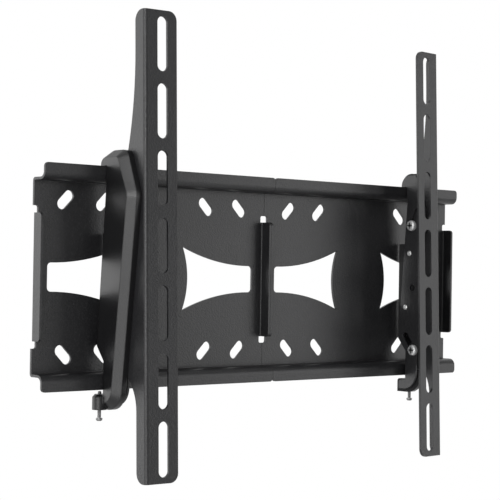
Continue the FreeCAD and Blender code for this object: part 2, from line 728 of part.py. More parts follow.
def build_cover():
    body = new_body("side_cover_left")
    inset = size("cover_bevel")
    none = 0 * inset
    shoulder = cover_outer - inset
    side = sketch_on(body, "cover_side", "YZ_Plane", -shoulder)
    draw_outline(side, hanger_outline(none, none, none, none, none))
    pad(body, "cover_block", side, shoulder - cover_inner)

    # the bevel runs over the top, down the front and under the foot
    face = sketch_on(body, "cover_face", "YZ_Plane", -cover_outer)
    draw_outline(face, hanger_outline(inset, inset, inset, none, none))
    bevel = body.newObject("PartDesign::AdditiveLoft", "cover_bevel")
    bevel.Profile = side
    bevel.Sections = [face]
    bevel.Ruled = True
    doc.recompute()

    # hollow over the nuts
    reach = size("strip_reach")
    wall, ahead = float(size("cavity_wall")), float(size("cavity_front"))
    strip = float(size("strip_width"))
    roof, floor = float(size("back_top")), -float(size("cavity_foot"))
    step = float(reach + size("cavity_step"))
    notch = -float(bear_y) - wall
    hollow = sketch_on(body, "cover_hollow", "YZ_Plane", -cover_inner)
    draw_outline(hollow, [
        (back_edge(roof) - wall, roof, 0),
        (front_edge(roof) + ahead, roof, 0),
        (front_edge(size("crest_z")) + ahead, size("crest_z"), 0),
        (front_edge(floor) + ahead, floor, 0),
        (notch, floor, 0),
        (notch, -size("notch_foot") + size("cavity_lift"), 0),
        (back_edge(-size("back_foot")) - wall, -size("back_foot") + size("cavity_lift"), 0),
        (back_edge(-step) - wall, -step, 0),
        (back_edge(-step) - strip, -step, 0),
        (back_edge(step) - strip, step, 0),
        (back_edge(step) - wall, step, 0),
    ])
    cut(body, "cover_hollow_cut", hollow, size("cavity_depth"))

    # pad that stands off the wall plate
    pad_top, pad_foot = size("pad_top"), -size("back_foot")
    lap = float(size("pad_lap"))
    stand = sketch_on(body, "wall_pad", "YZ_Plane", -cover_inner - size("pad_thk"))
    draw_outline(stand, [
        (back_edge(pad_top) - lap, pad_top, 0),
        (back_edge(pad_foot) - lap, pad_foot, 0),
        (-size("pad_back"), pad_foot, 0),
        (-size("pad_back"), pad_top, 0),
    ])
    pad(body, "wall_pad_block", stand, size("pad_thk"))

    # parts that reach in past the flange to the hook plate: the strip that the rivets hold, and the prong
    reach_in = sketch_on(body, "cover_reach", "YZ_Plane", -cover_inner)
    rim = float(size("hook_rim"))
    draw_outline(reach_in, [
        (back_edge(reach) - strip, reach, 0),
        (back_edge(-reach) - strip, -reach, 0),
        (back_edge(-reach) - rim, -reach, 0),
        (back_edge(reach) - rim, reach, 0),
    ])
    prong_front = -bear_y - size("prong_block")
    over_lip = lip_height + lip_play
    draw_outline(reach_in, [
        (-size("prong_back"), over_lip, 0),
        (-size("prong_back"), size("cover_top"), size("crown_radius")),
        (prong_front, size("cover_top"), 0),
        (prong_front, over_lip, 0),
    ])
    pad(body, "cover_reach_pads", reach_in, cover_inner - rim_inner)

    holes = sketch_on(body, "cover_rivet_holes", "YZ_Plane", -rim_inner)
    for y, z in rivet_places():
        draw_circle(holes, y, z, size("rivet_dia") / 2 + size("screw_play"))
    cut(body, "cover_rivet_hole_cuts", holes, size("rivet_grip") + size("over_cut"))

    boss = sketch_on(body, "lock_boss", "XY_Plane", -size("cover_foot"))
    draw_circle(boss, -lock_side, -size("lock_y"), size("boss_radius"))
    boss_shoulder = size("tab_top") + size("boss_round")
    pad(body, "lock_boss_pad", boss, size("cover_foot") - boss_shoulder)
    rim_low = sketch_on(body, "boss_rim_low", "XY_Plane", -boss_shoulder)
    draw_circle(rim_low, -lock_side, -size("lock_y"), size("boss_radius"))
    rim_high = sketch_on(body, "boss_rim_high", "XY_Plane", -size("tab_top"))
    draw_circle(rim_high, -lock_side, -size("lock_y"), size("boss_radius") - size("boss_round"))
    boss_top = body.newObject("PartDesign::AdditiveLoft", "boss_top")
    boss_top.Profile = rim_low
    boss_top.Sections = [rim_high]
    boss_top.Ruled = True
    doc.recompute()

    bore = sketch_on(body, "lock_bore", "XY_Plane", -size("tab_top"))
    draw_circle(bore, -lock_side, -size("lock_y"), size("lock_dia") / 2 + 4 * size("screw_play"))
    cut(body, "lock_bore_cut", bore, size("cover_foot") - size("tab_top") + size("over_cut"))
    seat = sketch_on(body, "insert_seat", "XY_Plane", -size("tab_top"))
    draw_circle(seat, -lock_side, -size("lock_y"), size("insert_dia") / 2 + size("screw_play"))
    cut(body, "insert_seat_cut", seat, size("insert_length"))
    return body


# Fasteners


def cylinder(name, radius, length, place, axis):
    """A round bar that starts at a place and runs along an axis."""
    bar = doc.addObject("Part::Cylinder", name)
    bind(bar, "Radius", radius)
    bind(bar, "Height", length)
    turn = FreeCAD.Rotation(FreeCAD.Vector(0, 0, 1), axis)
    bar.Placement = FreeCAD.Placement(FreeCAD.Vector(*(float(v) for v in place)), turn)
    for prop, value in zip("xyz", place):
        if isinstance(value, Size):
            bar.setExpression(f"Placement.Base.{prop}", value.text)
    return bar


def fused(name, shapes):
    joined = doc.addObject("Part::MultiFuse", name)
    joined.Shapes = shapes
    return joined


def less(name, base, tool):
    result = doc.addObject("Part::Cut", name)
    result.Base = base
    result.Tool = tool
    return result


INWARD = FreeCAD.Vector(1, 0, 0)
OUTWARD = FreeCAD.Vector(-1, 0, 0)
UP = FreeCAD.Vector(0, 0, 1)


def cross_recess(name, tip_x, y, z):
    """Two crossed slots sunk into a screw head."""
    bars = []
    for index, (wide, tall) in enumerate((("cross_length", "cross_width"), ("cross_width", "cross_length"))):
        bar = doc.addObject("Part::Box", f"{name}_{index}")
        bind(bar, "Length", size("cross_depth") + size("over_cut"))
        bind(bar, "Width", size(wide))
        bind(bar, "Height", size(tall))
        bar.Placement.Base = FreeCAD.Vector(float(tip_x - size("cross_depth")), float(y - size(wide) / 2),
                                            float(z - size(tall) / 2))
        bars.append(bar)
    return fused(name, bars)


def turned_head(name, kind, place):
    """A round head that points inward: a short cylinder and a cone that takes off its rim."""
    radius, height, chamfer = size(f"{kind}_dia") / 2, size(f"{kind}_height"), size(f"{kind}_round")
    x, y, z = place
    rim = cylinder(f"{name}_rim", radius, height - chamfer, place, INWARD)
    cone = doc.addObject("Part::Cone", f"{name}_cone")
    bind(cone, "Radius1", radius)
    bind(cone, "Radius2", radius - chamfer)
    bind(cone, "Height", chamfer)
    top = (x + height - chamfer, y, z)
    cone.Placement = FreeCAD.Placement(FreeCAD.Vector(*(float(v) for v in top)), rim.Placement.Rotation)
    for prop, value in zip("xyz", top):
        cone.setExpression(f"Placement.Base.{prop}", value.text)
    return rim, cone


def build_tilt_screws():
    """Pan head screws from inside: through the hook plate's slots and the arm's ears."""
    nut_outer = arm_side + size("tilt_nut_height")
    screws = []
    for name, z in (("upper", screw_upper), ("lower", screw_lower)):
        head_x = -hook_inner + size("screw_play")
        length = nut_outer + head_x + size("shank_end")
        radius = size("tilt_screw_dia") / 2
        shank = cylinder(f"tilt_shank_{name}", radius, length, (head_x, screw_y, z), OUTWARD)
        head = turned_head(f"tilt_{name}", "tilt_head", (head_x, screw_y, z))
        blank = fused(f"tilt_blank_{name}", [shank, *head])
        recess = cross_recess(f"tilt_cross_{name}", head_x + size("tilt_head_height"), screw_y, z)
        screws.append(less(f"tilt_screw_{name}", blank, recess))
    group = doc.addObject("Part::Compound", "tilt_screws_left")
    group.Links = screws
    group.Label = "tilt_screws_left"
    return group


def build_tilt_nuts():
    """Hexagon nuts on the outside of the arm's ears."""
    nuts = []
    for name, z in (("upper", screw_upper), ("lower", screw_lower)):
        hexagon = doc.addObject("Part::Prism", f"tilt_hex_{name}")
        hexagon.Polygon = 6
        bind(hexagon, "Circumradius", size("tilt_nut_flats") / math.sqrt(3))
        bind(hexagon, "Height", size("tilt_nut_height") - size("screw_play"))
        hexagon.Placement = FreeCAD.Placement(
            FreeCAD.Vector(float(-arm_side - size("screw_play")), float(screw_y), float(z)),
            FreeCAD.Rotation(FreeCAD.Vector(0, 0, 1), OUTWARD))
        thread = cylinder(f"tilt_thread_{name}", bolt_hole, size("tilt_nut_height") + 2 * size("over_cut"),
                          (-arm_side + size("over_cut"), screw_y, z), OUTWARD)
        nuts.append(less(f"tilt_nut_{name}", hexagon, thread))
    group = doc.addObject("Part::Compound", "tilt_nuts_left")
    group.Links = nuts
    group.Label = "tilt_nuts_left"
    return group


def build_rivets():
    """Rivets that hold the cover to the hook plate."""
    rivets = []
    for name, (y, z) in zip(("upper", "lower"), rivet_places()):
        head_x = -hook_inner + size("screw_play")
        length = hook_outer - hook_inner + 2 * size("screw_play") + size("rivet_grip")
        shank = cylinder(f"rivet_shank_{name}", size("rivet_dia") / 2, length, (head_x, y, z), OUTWARD)
        head = turned_head(f"rivet_{name}", "rivet_head", (head_x, y, z))
        rivets.append(fused(f"rivet_{name}", [shank, *head]))
    group = doc.addObject("Part::Compound", "cover_rivets_left")
    group.Links = rivets
    group.Label = "cover_rivets_left"
    return group


def build_lock_screw():
    """Screw that is driven up behind the lower lip to keep the hanger on the plate."""
    place = (-lock_side, -size("lock_y"), -size("lock_foot"))
    head = cylinder("lock_head", size("lock_head_dia") / 2, size("lock_head_height"), place, UP)
    shank = cylinder("lock_shank", size("lock_dia") / 2, size("lock_foot") - size("lock_tip"), place, UP)
    solid = fused("lock_screw_left", [head, shank])
    solid.Label = "lock_screw_left"
    return solid


def build_lock_insert():
    """Threaded sleeve in the cover's boss."""
    place = (-lock_side, -size("lock_y"), -size("tab_top") - size("insert_length"))
    sleeve = cylinder("insert_sleeve", size("insert_dia") / 2, size("insert_length"), place, UP)
    thread_radius = size("lock_dia") / 2 + size("screw_play")
    thread = cylinder("insert_thread", thread_radius, size("insert_length"), place, UP)
    solid = less("lock_insert_left", sleeve, thread)
    solid.Label = "lock_insert_left"
    return solid


left_pieces = [
    build_wall_plate(),
    leaned(build_arm()),
    build_hook_plate(),
    build_cover(),
    leaned(build_tilt_screws()),
    leaned(build_tilt_nuts()),
    build_rivets(),
    build_lock_screw(),
    build_lock_insert(),
]
pieces = []
for piece in left_pieces:
    pieces.append(piece)
    pieces.append(mirrored(piece, piece.Label.replace("_left", "_right")))

doc.recompute()
for obj in doc.Objects:
    if "Invalid" in obj.State or "Error" in obj.State:
        raise RuntimeError(f"{obj.Label} failed: {obj.State}")
for piece in pieces:
    if piece.Shape.isNull() or not piece.Shape.isValid():
        raise RuntimeError(f"{piece.Label} has no valid shape")

os.makedirs("parts", exist_ok=True)
for piece in pieces:
    piece.Shape.exportStep(f"parts/{piece.Label}.step")
    box = piece.Shape.BoundBox
    wide = f"X {box.XMin:.1f} {box.XMax:.1f}"
    deep = f"Y {box.YMin:.1f} {box.YMax:.1f}"
    tall = f"Z {box.ZMin:.1f} {box.ZMax:.1f}"
    print(f"{piece.Label:20s} solids {len(piece.Shape.Solids)}  {wide}  {deep}  {tall}")
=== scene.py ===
"""Dress the tilting television mount: finishes, detailed fasteners, studio light and camera."""

import logging
import math
from dataclasses import dataclass
from enum import Enum
from typing import ClassVar

import bmesh
import bpy
from mathutils import Matrix, Vector

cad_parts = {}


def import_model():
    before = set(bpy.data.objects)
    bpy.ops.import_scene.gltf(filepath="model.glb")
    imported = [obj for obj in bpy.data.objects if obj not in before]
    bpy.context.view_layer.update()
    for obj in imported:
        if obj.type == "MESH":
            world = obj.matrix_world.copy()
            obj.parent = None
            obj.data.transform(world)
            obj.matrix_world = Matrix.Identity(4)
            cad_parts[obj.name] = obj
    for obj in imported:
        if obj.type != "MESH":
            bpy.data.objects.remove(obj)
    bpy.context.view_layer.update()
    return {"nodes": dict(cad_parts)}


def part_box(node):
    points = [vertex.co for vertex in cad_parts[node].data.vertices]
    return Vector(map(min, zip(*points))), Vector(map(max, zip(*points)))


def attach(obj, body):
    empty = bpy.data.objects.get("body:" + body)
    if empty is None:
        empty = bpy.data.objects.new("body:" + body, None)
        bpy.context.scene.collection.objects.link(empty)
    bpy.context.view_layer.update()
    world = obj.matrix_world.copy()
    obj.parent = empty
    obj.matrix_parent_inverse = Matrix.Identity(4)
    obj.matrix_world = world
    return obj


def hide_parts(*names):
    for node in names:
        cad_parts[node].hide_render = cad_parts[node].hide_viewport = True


MM = 0.001
SHARP_ANGLE = math.radians(38.0)
MERGE_DISTANCE = 1e-7
EDGE_SAMPLES = 4
WHITE = (1.0, 1.0, 1.0, 1.0)

Triple = tuple[float, float, float]
Span = tuple[float, float]
Shares = tuple[float, ...]
Sockets = tuple[tuple[str, str], ...]
Value = bpy.types.NodeSocket | float
Edges = list[bmesh.types.BMEdge]
Nodes = dict[str, bpy.types.Object]

log = logging.getLogger("tv_mount")


class Side(Enum):
    """The two hangers of the mount; the value is the sign of X on that side."""

    LEFT = -1.0
    RIGHT = 1.0

    @property
    def word(self) -> str:
        """The side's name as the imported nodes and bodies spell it."""
        return self.name.lower()


class Slot(Enum):
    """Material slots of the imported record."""

    ZINC = "zinc_steel"


# Shader wiring


class Wiring:
    """Adds nodes to a node tree and links them."""

    def __init__(self, tree: bpy.types.NodeTree) -> None:
        """Keep the node tree to fill."""
        self.tree = tree

    def node(self, kind: str, **settings: object) -> bpy.types.Node:
        """Add a node.

        Args:
            kind: Blender's class name of the node.
            settings: attributes of the node, set after it is made.

        Returns:
            The new node.
        """
        made = self.tree.nodes.new(kind)
        for key, value in settings.items():
            setattr(made, key, value)
        return made

    def found(self, kind: str) -> bpy.types.Node:
        """The tree's own node of a type."""
        return next(node for node in self.tree.nodes if node.type == kind)

    def link(self, source: bpy.types.NodeSocket, target: bpy.types.NodeSocket) -> None:
        """Join an output socket to an input socket."""
        self.tree.links.new(source, target)

    def group(self, tree: bpy.types.NodeTree, vector: bpy.types.NodeSocket, setting: str,
              value: float) -> bpy.types.Node:
        """Place a shared shader group.

        Args:
            tree: the group.
            vector: the coordinates that it reads.
            setting: the name of its other input.
            value: that input's value.

        Returns:
            The group's node.
        """
        made = self.node("ShaderNodeGroup", node_tree=tree)
        self.link(vector, made.inputs["Vector"])
        made.inputs[setting].default_value = value
        return made

    def math(self, operation: str, first: Value, second: Value = 0.0) -> bpy.types.NodeSocket:
        """Add a Math node.

        Args:
            operation: the node's operation.
            first: a socket or a number.
            second: a socket or a number.

        Returns:
            The node's output.
        """
        made = self.node("ShaderNodeMath", operation=operation)
        for place, value in enumerate((first, second)):
            if isinstance(value, bpy.types.NodeSocket):
                self.link(value, made.inputs[place])
            else:
                made.inputs[place].default_value = value
        return made.outputs["Value"]

    def ranged(self, value: bpy.types.NodeSocket, low: float, high: float,
               to_low: float, to_high: float) -> bpy.types.NodeSocket:
        """Map a value from one range to another, held inside it.

        Args:
            value: the socket to map.
            low: start of the range that is read.
            high: end of that range.
            to_low: result at its start.
            to_high: result at its end.

        Returns:
            The mapped value's socket.
        """
        made = self.node("ShaderNodeMapRange", clamp=True)
        self.link(value, made.inputs["Value"])
        for name, number in (("From Min", low), ("From Max", high), ("To Min", to_low), ("To Max", to_high)):
            made.inputs[name].default_value = number
        return made.outputs["Result"]

    def mixed(self, factor: bpy.types.NodeSocket, first: Triple, second: Triple) -> bpy.types.NodeSocket:
        """Mix two colours.

        Args:
            factor: 0 gives the first colour and 1 the second.
            first: linear red, green and blue.
            second: linear red, green and blue.

        Returns:
            The mixed colour's socket.
        """
        made = self.node("ShaderNodeMix", data_type="RGBA")
        self.link(factor, made.inputs["Factor"])
        colours = {"A": first, "B": second}
        for socket in made.inputs:
            if socket.type == "RGBA" and socket.name in colours:
                socket.default_value = (*colours[socket.name], 1.0)
        return next(out for out in made.outputs if out.type == "RGBA")

    def blended(self, factor: bpy.types.NodeSocket, first: bpy.types.NodeSocket,
                second: bpy.types.NodeSocket) -> bpy.types.NodeSocket:
        """Mix two shaders.

        Args:
            factor: 0 gives the first shader and 1 the second.
            first: the first shader's output.
            second: the second shader's output.

        Returns:
            The mixed shader's socket.
        """
        made = self.node("ShaderNodeMixShader")
        self.link(factor, made.inputs["Fac"])
        self.link(first, made.inputs[1])
        self.link(second, made.inputs[2])
        return made.outputs["Shader"]


class GroupMaker:
    """Builds the shader groups that several finishes share, each one once."""

    GRAIN: ClassVar[str] = "fine_grain"
    PEBBLE_DETAIL: ClassVar[float] = 3.0
    PEBBLE_ROUGHNESS: ClassVar[float] = 0.6
    PIT_SHARE: ClassVar[float] = 0.6
    SPECKLE_RANGE: ClassVar[Span] = (0.52, 0.72)
    CLOUD: ClassVar[str] = "soft_cloud"
    CLOUD_DETAIL: ClassVar[float] = 4.0
    PATCH_RANGE: ClassVar[Span] = (0.3, 0.7)

    @classmethod
    def _start(cls, name: str, inputs: Sockets,
               outputs: Sockets) -> tuple[bpy.types.NodeTree, Wiring, bpy.types.Node, bpy.types.Node]:
        """Make an empty group with its sockets.

        Args:
            name: the group's name.
            inputs: pairs of socket name and socket type.
            outputs: pairs of socket name and socket type.

        Returns:
            The group, its wiring, its input node and its output node.
        """
        group = bpy.data.node_groups.new(name, "ShaderNodeTree")
        for socket, kind in inputs:
            group.interface.new_socket(name=socket, in_out="INPUT", socket_type=kind)
        for socket, kind in outputs:
            group.interface.new_socket(name=socket, in_out="OUTPUT", socket_type=kind)
        wiring = Wiring(group)
        return group, wiring, wiring.node("NodeGroupInput"), wiring.node("NodeGroupOutput")

    @classmethod
    def grain(cls) -> bpy.types.NodeTree:
        """Small pebbles and pits of a sprayed or moulded surface.

        Returns:
            A group with a Height for bumps and a Speckle mask.
        """
        if cls.GRAIN in bpy.data.node_groups:
            return bpy.data.node_groups[cls.GRAIN]
        group, wiring, start, end = cls._start(
            cls.GRAIN, (("Vector", "NodeSocketVector"), ("Grains per metre", "NodeSocketFloat")),
            (("Height", "NodeSocketFloat"), ("Speckle", "NodeSocketFloat")))
        pebbles = wiring.node("ShaderNodeTexNoise")
        pebbles.inputs["Detail"].default_value = cls.PEBBLE_DETAIL
        pebbles.inputs["Roughness"].default_value = cls.PEBBLE_ROUGHNESS
        pits = wiring.node("ShaderNodeTexVoronoi", feature="SMOOTH_F1")
        for texture in (pebbles, pits):
            wiring.link(start.outputs["Vector"], texture.inputs["Vector"])
            wiring.link(start.outputs["Grains per metre"], texture.inputs["Scale"])
        depth = wiring.math("MULTIPLY", pits.outputs["Distance"], cls.PIT_SHARE)
        wiring.link(wiring.math("ADD", pebbles.outputs["Fac"], depth), end.inputs["Height"])
        speckle = wiring.ranged(pebbles.outputs["Fac"], *cls.SPECKLE_RANGE, 0.0, 1.0)
        wiring.link(speckle, end.inputs["Speckle"])
        return group

    @classmethod
    def cloud(cls) -> bpy.types.NodeTree:
        """Broad soft patches, as handling and uneven spraying leave them.

        Returns:
            A group with a Patch value from 0 to 1.
        """
        if cls.CLOUD in bpy.data.node_groups:
            return bpy.data.node_groups[cls.CLOUD]
        group, wiring, start, end = cls._start(
            cls.CLOUD, (("Vector", "NodeSocketVector"), ("Patches per metre", "NodeSocketFloat")),
            (("Patch", "NodeSocketFloat"),))
        noise = wiring.node("ShaderNodeTexNoise")
        noise.inputs["Detail"].default_value = cls.CLOUD_DETAIL
        wiring.link(start.outputs["Vector"], noise.inputs["Vector"])
        wiring.link(start.outputs["Patches per metre"], noise.inputs["Scale"])
        patch = wiring.ranged(noise.outputs["Fac"], *cls.PATCH_RANGE, 0.0, 1.0)
        wiring.link(patch, end.inputs["Patch"])
        return group


# Finishes


@dataclass(frozen=True)
class Finish:
    """A surface finish that makes its own material.

    Attributes:
        name: the material's name.
        dark: linear colour in the deeper patches.
        pale: linear colour in the paler patches.
        smooth: roughness where it is smoothest.
        rough: roughness where it is roughest.
        grains: grains per metre.
        grain_depth: height of the grain in metres.
        edge_radius: how far edges look softened, in metres.
        metallic: 1 for bare metal.
        specular: specular level of the shader.
        patches: broad patches per metre.
        speckle: share of the grain in the tone; the patches make up the rest.
        matte_within: distance from the middle plane within which the surface is left matte, in metres.
        matte_rough: roughness there.
    """

    name: str
    dark: Triple
    pale: Triple
    smooth: float
    rough: float
    grains: float
    grain_depth: float
    edge_radius: float
    metallic: float = 0.0
    specular: float = 0.5
    patches: float = 14.0
    speckle: float = 0.35
    matte_within: float = 0.0
    matte_rough: float = 0.9

    def material(self) -> bpy.types.Material:
        """Make the finish's material, once.

        Returns:
            The material.
        """
        if self.name in bpy.data.materials:
            return bpy.data.materials[self.name]
        made = bpy.data.materials.new(self.name)
        made.use_nodes = True
        made.diffuse_color = (*self.pale, 1.0)
        wiring = Wiring(made.node_tree)
        shader = wiring.found("BSDF_PRINCIPLED")
        shader.inputs["Metallic"].default_value = self.metallic
        shader.inputs["Specular IOR Level"].default_value = self.specular
        place = wiring.node("ShaderNodeTexCoord").outputs["Object"]
        grain = wiring.group(GroupMaker.grain(), place, "Grains per metre", self.grains)
        cloud = wiring.group(GroupMaker.cloud(), place, "Patches per metre", self.patches)
        speckle = wiring.math("MULTIPLY", grain.outputs["Speckle"], self.speckle)
        patch = wiring.math("MULTIPLY", cloud.outputs["Patch"], 1.0 - self.speckle)
        tone = wiring.math("ADD", speckle, patch)
        wiring.link(wiring.mixed(tone, self.dark, self.pale), shader.inputs["Base Color"])
        wiring.link(self._roughness(wiring, place, tone), shader.inputs["Roughness"])
        wiring.link(self._normal(wiring, grain.outputs["Height"]), shader.inputs["Normal"])
        return made

    def _roughness(self, wiring: Wiring, place: bpy.types.NodeSocket,
                   tone: bpy.types.NodeSocket) -> bpy.types.NodeSocket:
        """Follow the tone, and be matte near the middle plane.

        Args:
            wiring: the material's wiring.
            place: Object coordinates.
            tone: 0 in the dark patches and 1 in the pale ones.

        Returns:
            The roughness socket.
        """
        parts = wiring.node("ShaderNodeSeparateXYZ")
        wiring.link(place, parts.inputs["Vector"])
        across = wiring.math("ABSOLUTE", parts.outputs["X"])
        matte = wiring.math("LESS_THAN", across, self.matte_within)
        polished = wiring.ranged(tone, 0.0, 1.0, self.smooth, self.rough)
        return wiring.math("MAXIMUM", polished, wiring.math("MULTIPLY", matte, self.matte_rough))

    def _normal(self, wiring: Wiring, height: bpy.types.NodeSocket) -> bpy.types.NodeSocket:
        """Soften the edges and raise the grain.

        Args:
            wiring: the material's wiring.
            height: the grain's height.

        Returns:
            The normal socket.
        """
        edges = wiring.node("ShaderNodeBevel", samples=EDGE_SAMPLES)
        edges.inputs["Radius"].default_value = self.edge_radius
        bump = wiring.node("ShaderNodeBump")
        bump.inputs["Strength"].default_value = 1.0
        bump.inputs["Distance"].default_value = self.grain_depth
        wiring.link(height, bump.inputs["Height"])
        wiring.link(edges.outputs["Normal"], bump.inputs["Normal"])
        return bump.outputs["Normal"]

    def put_on(self, node: str, nodes: Nodes) -> None:
        """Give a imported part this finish.

        Args:
            node: the part's name.
            nodes: the loaded parts by name.
        """
        part = nodes[node]
        if not part.material_slots:
            part.data.materials.append(None)
        for slot in part.material_slots:
            slot.material = self.material()
        log.info("dressed %s in %s", node, self.name)


POWDER_COAT = Finish(
    name="black_powder_coat", dark=(0.006, 0.006, 0.007), pale=(0.024, 0.024, 0.025),
    smooth=0.34, rough=0.46, grains=850.0, grain_depth=0.17 * MM, edge_radius=0.5 * MM, speckle=0.7)
MOULDED = Finish(
    name="black_moulded_plastic", dark=(0.002, 0.002, 0.0025), pale=(0.007, 0.007, 0.0075),
    smooth=0.3, rough=0.38, grains=1100.0, grain_depth=0.06 * MM, edge_radius=1.4 * MM,
    speckle=0.5, matte_within=161.4 * MM)
ZINC = Finish(
    name="bright_zinc_plate", dark=(0.38, 0.38, 0.37), pale=(0.8, 0.81, 0.83),
    smooth=0.28, rough=0.44, grains=1500.0, grain_depth=0.05 * MM, edge_radius=0.3 * MM,
    metallic=0.55, patches=420.0, speckle=0.5)
# The lock screws' zinc plating with a darker colour. The darkening is painted shade for the screws under the
# hangers; the higher roughness and full metallic are the plating's own.
ZINC_PAINTED_SHADE = Finish(
    name="zinc_plate_painted_shade", dark=(0.16, 0.16, 0.155), pale=(0.3, 0.3, 0.31),
    smooth=0.36, rough=0.5, grains=2600.0, grain_depth=0.01 * MM, edge_radius=0.2 * MM,
    metallic=1.0, patches=160.0)


# Meshes


class Turned:
    """A part turned about the Z axis of its own bmesh, built ring by ring."""

    THREAD_STEPS: ClassVar[int] = 24
    SOCKET_TAPER: ClassVar[float] = 0.62

    def __init__(self, segments: int = 40) -> None:
        """Start an empty mesh whose rings have this many corners."""
        self.bm = bmesh.new()
        self.segments = segments

    def ring(self, radius: float, height: float) -> Edges:
        """Start a loop of edges.

        Args:
            radius: the ring's radius.
            height: its height.

        Returns:
            The ring's edges.
        """
        made = bmesh.ops.create_circle(self.bm, cap_ends=False, segments=self.segments, radius=radius,
                                       matrix=Matrix.Translation((0.0, 0.0, height)))
        return list({edge for vert in made["verts"] for edge in vert.link_edges})

    def _pulled(self, edges: Edges) -> tuple[list[bmesh.types.BMVert], Edges]:
        """Extrude a loop in place.

        Args:
            edges: the loop.

        Returns:
            The new loop's vertices and its edges.
        """
        made = bmesh.ops.extrude_edge_only(self.bm, edges=edges)["geom"]
        verts = [item for item in made if isinstance(item, bmesh.types.BMVert)]
        loop = [item for item in made if isinstance(item, bmesh.types.BMEdge)
                and all(vert in verts for vert in item.verts)]
        return verts, loop

    def grow(self, edges: Edges, radius: float, height: float) -> Edges:
        """Extrude a ring to another radius and height.

        Args:
            edges: the ring to extrude.
            radius: radius of the new ring.
            height: height of the new ring.

        Returns:
            The new ring's edges.
        """
        verts, loop = self._pulled(edges)
        share = radius / verts[0].co.xy.length
        bmesh.ops.scale(self.bm, vec=(share, share, 1.0), verts=verts)
        bmesh.ops.translate(self.bm, vec=(0.0, 0.0, height - verts[0].co.z), verts=verts)
        return loop

    def close(self, edges: Edges) -> None:
        """Fill a ring."""
        bmesh.ops.edgeloop_fill(self.bm, edges=edges)

    def cross_recess(self, edges: Edges, length: float, width: float, depth: float) -> None:
        """Join a ring to a cross-shaped socket sunk below it.

        Args:
            edges: the ring round the socket.
            length: the cross from tip to tip.
            width: width of its arms.
            depth: depth of the socket.
        """
        height = edges[0].verts[0].co.z
        reach, half = length / 2.0, width / 2.0
        quarter = ((reach, -half), (reach, half), (half, half))
        corners = []
        for turn in range(4):
            spun = Matrix.Rotation(turn * math.pi / 2.0, 3, "Z")
            for x, y in quarter:
                flat = spun @ Vector((x, y, 0.0))
                made = bmesh.ops.create_vert(self.bm, co=(flat.x, flat.y, height))
                corners.append(made["vert"][0])
        loop = [self.bm.edges.new((corners[k], corners[(k + 1) % len(corners)])) for k in range(len(corners))]
        bmesh.ops.bridge_loops(self.bm, edges=edges + loop)
        verts, floor = self._pulled(loop)
        bmesh.ops.scale(self.bm, vec=(self.SOCKET_TAPER, self.SOCKET_TAPER, 1.0), verts=verts)
        bmesh.ops.translate(self.bm, vec=(0.0, 0.0, -depth), verts=verts)
        self.close(floor)

    def thread(self, root: float, crest: float, pitch: float, low: float, high: float) -> None:
        """Wind a screw thread round the axis.

        Args:
            root: radius at the thread's root.
            crest: radius at its crest.
            pitch: rise in one turn.
            low: height where it starts.
            high: height where it ends.
        """
        turns = max(1, int((high - low) / pitch) - 1)
        profile = [bmesh.ops.create_vert(self.bm, co=spot)["vert"][0] for spot in
                   ((root, 0.0, low), (crest, 0.0, low + pitch / 2.0), (root, 0.0, low + pitch))]
        edges = [self.bm.edges.new(profile[k:k + 2]) for k in range(2)]
        bmesh.ops.spin(self.bm, geom=profile + edges, cent=(0.0, 0.0, 0.0), axis=(0.0, 0.0, 1.0),
                       dvec=(0.0, 0.0, pitch / self.THREAD_STEPS), angle=2.0 * math.pi * turns,
                       steps=self.THREAD_STEPS * turns, use_merge=False)

    def move_to(self, target: bmesh.types.BMesh, place: Matrix) -> None:
        """Put this part into another bmesh and free its own.

        Args:
            target: the bmesh that receives it.
            place: where the part's axis goes.
        """
        bmesh.ops.remove_doubles(self.bm, verts=self.bm.verts, dist=MERGE_DISTANCE)
        bmesh.ops.recalc_face_normals(self.bm, faces=self.bm.faces)
        held = bpy.data.meshes.new("turned")
        self.bm.to_mesh(held)
        self.bm.free()
        held.transform(place)
        target.from_mesh(held)
        bpy.data.meshes.remove(held)


def finished(name: str, bm: bmesh.types.BMesh, finish: Finish) -> bpy.types.Object:
    """Turn a bmesh into an object of the scene.

    Args:
        name: the piece's name.
        bm: its mesh, in place; it is freed.
        finish: its finish.

    Returns:
        The object.
    """
    mesh = bpy.data.meshes.new(name)
    for face in bm.faces:
        face.smooth = True
    bm.to_mesh(mesh)
    bm.free()
    mesh.set_sharp_from_angle(angle=SHARP_ANGLE)
    mesh.materials.append(finish.material())
    made = bpy.data.objects.new(name, mesh)
    bpy.context.scene.collection.objects.link(made)
    return made


def along_x(side: Side, x: float, y: float, z: float) -> Matrix:
    """The place of a part whose own Z points towards the middle of the mount.

    Args:
        side: the hanger it is on.
        x: height zero of the part along X, as a distance from the middle.
        y: its place in front of the wall.
        z: its height.

    Returns:
        The matrix that puts it there.
    """
    turn = Matrix.Rotation(-side.value * math.pi / 2.0, 4, "Y")
    return Matrix.Translation((side.value * x, y, z)) @ turn


# Sub-assemblies


@dataclass
class WallPlate:
    """The two folded halves of the wall plate."""

    finish: Finish = POWDER_COAT

    def dress(self, nodes: Nodes) -> None:
        """Coat both halves."""
        for side in Side:
            self.finish.put_on(f"wall_plate_{side.word}", nodes)


